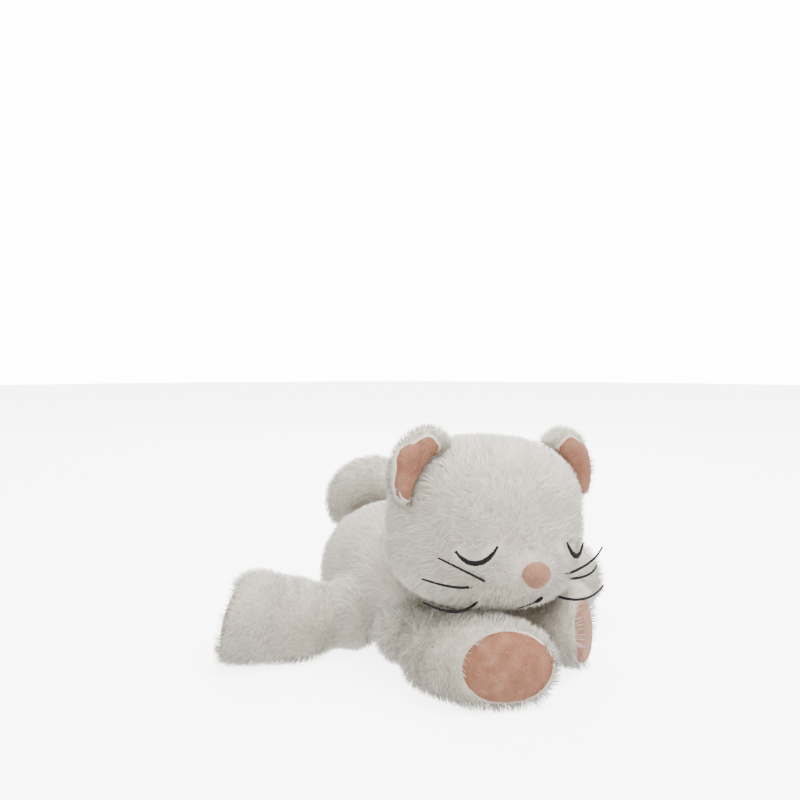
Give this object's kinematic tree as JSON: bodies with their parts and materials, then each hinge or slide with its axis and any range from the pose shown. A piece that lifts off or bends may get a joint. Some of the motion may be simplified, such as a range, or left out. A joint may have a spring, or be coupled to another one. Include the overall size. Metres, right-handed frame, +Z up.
{
  "type": "plush cat",
  "caption": "Soft toy cat lying flat on its belly, chin on its front paws, with long white pile, pink velour soles and ears, stitched closed eyes, whiskers and a curled tail.",
  "frame": {"origin": "middle of the flat underside of the belly, on the surface the cat lies on", "axes": "+Z up; the cat faces -Y, its tail is towards +Y; its right side is towards -X and its left side towards +X"},
  "size_m": [0.3474, 0.3022, 0.1794],
  "materials": {
    "white_fur": "long soft warm-white pile, matt",
    "fibre_filling": "loose white polyester fibre",
    "pink_velour": "short-pile pink velour with a slight sheen",
    "nose_velour": "paler pink short-pile velour, padded",
    "black_thread": "black embroidery thread",
    "black_bristle": "stiff black nylon bristle",
    "bead_pouch": "plain woven pouch holding plastic pellets"
  },
  "bodies": {
    "torso": {"back_cover": "white_fur", "belly_cover": "white_fur", "body_stuffing": "fibre_filling", "belly_bead_pouch": "bead_pouch"},
    "neck": {"neck_stuffing": "fibre_filling"},
    "head": {"face_cover": "white_fur", "head_back_cover": "white_fur", "head_stuffing": "fibre_filling", "nose": "nose_velour", "mouth_stitch": "black_thread", "eye_right": "black_thread", "eye_left": "black_thread", "whisker_right_upper": "black_bristle", "whisker_right_middle": "black_bristle", "whisker_right_lower": "black_bristle", "whisker_left_upper": "black_bristle", "whisker_left_middle": "black_bristle", "whisker_left_lower": "black_bristle"},
    "ear_right": {"ear_right_back": "white_fur", "ear_right_lining": "pink_velour"},
    "ear_left": {"ear_left_back": "white_fur", "ear_left_lining": "pink_velour"},
    "arm_right": {"arm_right_cover": "white_fur", "arm_right_stuffing": "fibre_filling", "arm_right_pad": "pink_velour"},
    "arm_left": {"arm_left_cover": "white_fur", "arm_left_stuffing": "fibre_filling", "arm_left_pad": "pink_velour"},
    "leg_right": {"leg_right_cover": "white_fur", "leg_right_stuffing": "fibre_filling", "leg_right_pad": "pink_velour"},
    "leg_left": {"leg_left_cover": "white_fur", "leg_left_stuffing": "fibre_filling", "leg_left_pad": "pink_velour"},
    "tail": {"tail_cover": "white_fur", "tail_stuffing": "fibre_filling"}
  },
  "joints": [
    {"name": "head_turn", "type": "hinge", "parent": "torso", "child": "neck", "pos_m": [0, -0.065, 0.068], "axis": [0, 0, 1], "range_deg": [-15, 15]},
    {"name": "head_nod", "type": "hinge", "parent": "neck", "child": "head", "pos_m": [0, -0.065, 0.068], "axis": [-1, 0, 0], "range_deg": [0, 18]},
    {"name": "arm_right_swing", "type": "hinge", "parent": "torso", "child": "arm_right", "pos_m": [-0.044, -0.069, 0.0229], "axis": [0, 0, -1], "range_deg": [0, 35]},
    {"name": "arm_left_swing", "type": "hinge", "parent": "torso", "child": "arm_left", "pos_m": [0.044, -0.069, 0.0229], "axis": [0, 0, 1], "range_deg": [0, 35]},
    {"name": "leg_right_swing", "type": "hinge", "parent": "torso", "child": "leg_right", "pos_m": [-0.066, -0.022, 0.0274], "axis": [0, 0, 1], "range_deg": [-12, 15]},
    {"name": "leg_left_swing", "type": "hinge", "parent": "torso", "child": "leg_left", "pos_m": [0.066, -0.022, 0.0274], "axis": [0, 0, -1], "range_deg": [-12, 15]},
    {"name": "tail_swing", "type": "hinge", "parent": "torso", "child": "tail", "pos_m": [0.024, 0.069, 0.085], "axis": [0, 0, 1], "range_deg": [-25, 10]},
    {"name": "ear_right_fold", "type": "hinge", "parent": "head", "child": "ear_right", "pos_m": [-0.05581, -0.11643, 0.15081], "axis": [-0.6359, 0.0111, -0.7717], "range_deg": [-12, 18], "stiffness_Nm_per_rad": 0.01},
    {"name": "ear_left_fold", "type": "hinge", "parent": "head", "child": "ear_left", "pos_m": [0.06098, -0.11847, 0.14571], "axis": [-0.5663, 0.0099, 0.8242], "range_deg": [-12, 18], "stiffness_Nm_per_rad": 0.01}
  ]
}
